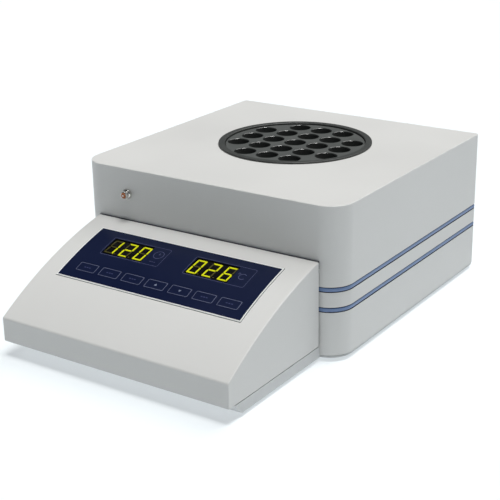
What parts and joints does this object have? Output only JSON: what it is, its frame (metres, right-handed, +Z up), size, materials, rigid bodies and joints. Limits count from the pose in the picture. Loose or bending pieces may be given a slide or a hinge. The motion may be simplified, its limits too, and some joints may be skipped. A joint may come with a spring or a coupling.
{
  "type": "dry block heater",
  "caption": "Bench dry block heater: a grey case around a round aluminium well block, with a low curved console that carries two displays and a key panel.",
  "frame": {"origin": "on the table, under the middle of the outline (feet down)", "axes": "+Z up, -Y towards the user and the console's lip, +X to the user's right"},
  "size_m": [0.245, 0.363, 0.1255],
  "materials": {
    "case_paint": "fine satin light grey coat",
    "stripe_blue": "satin steel-blue trim",
    "plate_paint": "satin grey coat",
    "zinc_steel": "zinc plated",
    "black_rubber": "matt",
    "black_plastic": "fine moulded grain",
    "block_anodised": "dark grey anodised, satin",
    "ring_black": "satin black",
    "fibre": "ceramic fibre felt",
    "mica": "mica laminate",
    "nickel": "nickel plated",
    "insulator_brown": "phenolic brown",
    "rim_white": "satin white",
    "overlay_navy": "gloss film printed navy",
    "display_black": "gloss black",
    "segment_yellow": "lit yellow-green segments",
    "board_green": "solder mask",
    "cable_grey": "PVC",
    "lead_white": "glass-fibre sleeve",
    "lead_brown": "PVC",
    "core_grey": "varnished laminations",
    "bare_aluminium": "extruded",
    "fuse_glass": "clear glass with metal caps"
  },
  "bodies": {
    "housing": {"main_casing": "case_paint", "upper_stripe": "stripe_blue", "lower_stripe": "stripe_blue", "base_plate": "plate_paint", "base_screw_set": "zinc_steel", "feet_set": "black_rubber", "rear_panel": "case_paint", "rear_screw_set": "zinc_steel", "fan_frame": "black_plastic", "fan_guard": "nickel", "power_inlet": "black_plastic", "inlet_pin_set": "nickel", "rocker_body": "black_plastic", "heating_block": "block_anodised", "block_ring": "ring_black", "block_insulation": "fibre", "insulation_jacket": "zinc_steel", "heater_plate": "mica", "heater_clamp": "zinc_steel", "clamp_screw_set": "zinc_steel", "base_insulation": "fibre", "heat_shield": "zinc_steel", "block_post_set": "zinc_steel", "temperature_sensor": "nickel", "thermal_cutout": "insulator_brown", "probe_socket": "nickel", "probe_insulator": "insulator_brown", "console_cover": "case_paint", "console_tray": "plate_paint", "console_screw_set": "zinc_steel", "console_bolt_set": "zinc_steel", "panel_frame": "rim_white", "panel_overlay": "overlay_navy", "key_switch_set": "black_plastic", "time_display": "display_black", "temperature_display": "display_black", "time_digits": "segment_yellow", "temperature_digits": "segment_yellow", "control_board": "board_green", "board_standoff_set": "nickel", "buzzer": "black_plastic", "ribbon_cable": "cable_grey", "power_board": "board_green", "power_standoff_set": "nickel", "transformer": "core_grey", "triac": "black_plastic", "heat_sink": "bare_aluminium", "fuse": "fuse_glass", "heater_leads": "lead_white", "mains_leads": "lead_brown", "signal_leads": "cable_grey"},
    "key_1_cap": {"key_1": "overlay_navy"},
    "key_2_cap": {"key_2": "overlay_navy"},
    "key_3_cap": {"key_3": "overlay_navy"},
    "key_4_cap": {"key_4": "overlay_navy"},
    "key_5_cap": {"key_5": "overlay_navy"},
    "key_6_cap": {"key_6": "overlay_navy"},
    "key_7_cap": {"key_7": "overlay_navy"},
    "rocker_lever": {"rocker": "black_plastic"},
    "fan_wheel": {"fan_rotor": "black_plastic"}
  },
  "joints": [
    {"name": "key_1_press", "type": "slide", "parent": "housing", "child": "key_1_cap", "axis": [0, 0.3852, -0.9229], "range_m": [0, 0.0004], "stiffness_N_per_m": 900, "springref_m": -0.0006},
    {"name": "key_2_press", "type": "slide", "parent": "housing", "child": "key_2_cap", "axis": [0, 0.3852, -0.9229], "range_m": [0, 0.0004], "stiffness_N_per_m": 900, "springref_m": -0.0006},
    {"name": "key_3_press", "type": "slide", "parent": "housing", "child": "key_3_cap", "axis": [0, 0.3852, -0.9229], "range_m": [0, 0.0004], "stiffness_N_per_m": 900, "springref_m": -0.0006},
    {"name": "key_4_press", "type": "slide", "parent": "housing", "child": "key_4_cap", "axis": [0, 0.3852, -0.9229], "range_m": [0, 0.0004], "stiffness_N_per_m": 900, "springref_m": -0.0006},
    {"name": "key_5_press", "type": "slide", "parent": "housing", "child": "key_5_cap", "axis": [0, 0.3852, -0.9229], "range_m": [0, 0.0004], "stiffness_N_per_m": 900, "springref_m": -0.0006},
    {"name": "key_6_press", "type": "slide", "parent": "housing", "child": "key_6_cap", "axis": [0, 0.3852, -0.9229], "range_m": [0, 0.0004], "stiffness_N_per_m": 900, "springref_m": -0.0006},
    {"name": "key_7_press", "type": "slide", "parent": "housing", "child": "key_7_cap", "axis": [0, 0.3852, -0.9229], "range_m": [0, 0.0004], "stiffness_N_per_m": 900, "springref_m": -0.0006},
    {"name": "rocker_tilt", "type": "hinge", "parent": "housing", "child": "rocker_lever", "pos_m": [0.066, 0.1746, 0.083], "axis": [0, 0, 1], "range_deg": [0, 20]},
    {"name": "fan_spin", "type": "hinge", "parent": "housing", "child": "fan_wheel", "pos_m": [-0.058, 0.167, 0.063], "axis": [0, 1, 0], "continuous": true}
  ]
}
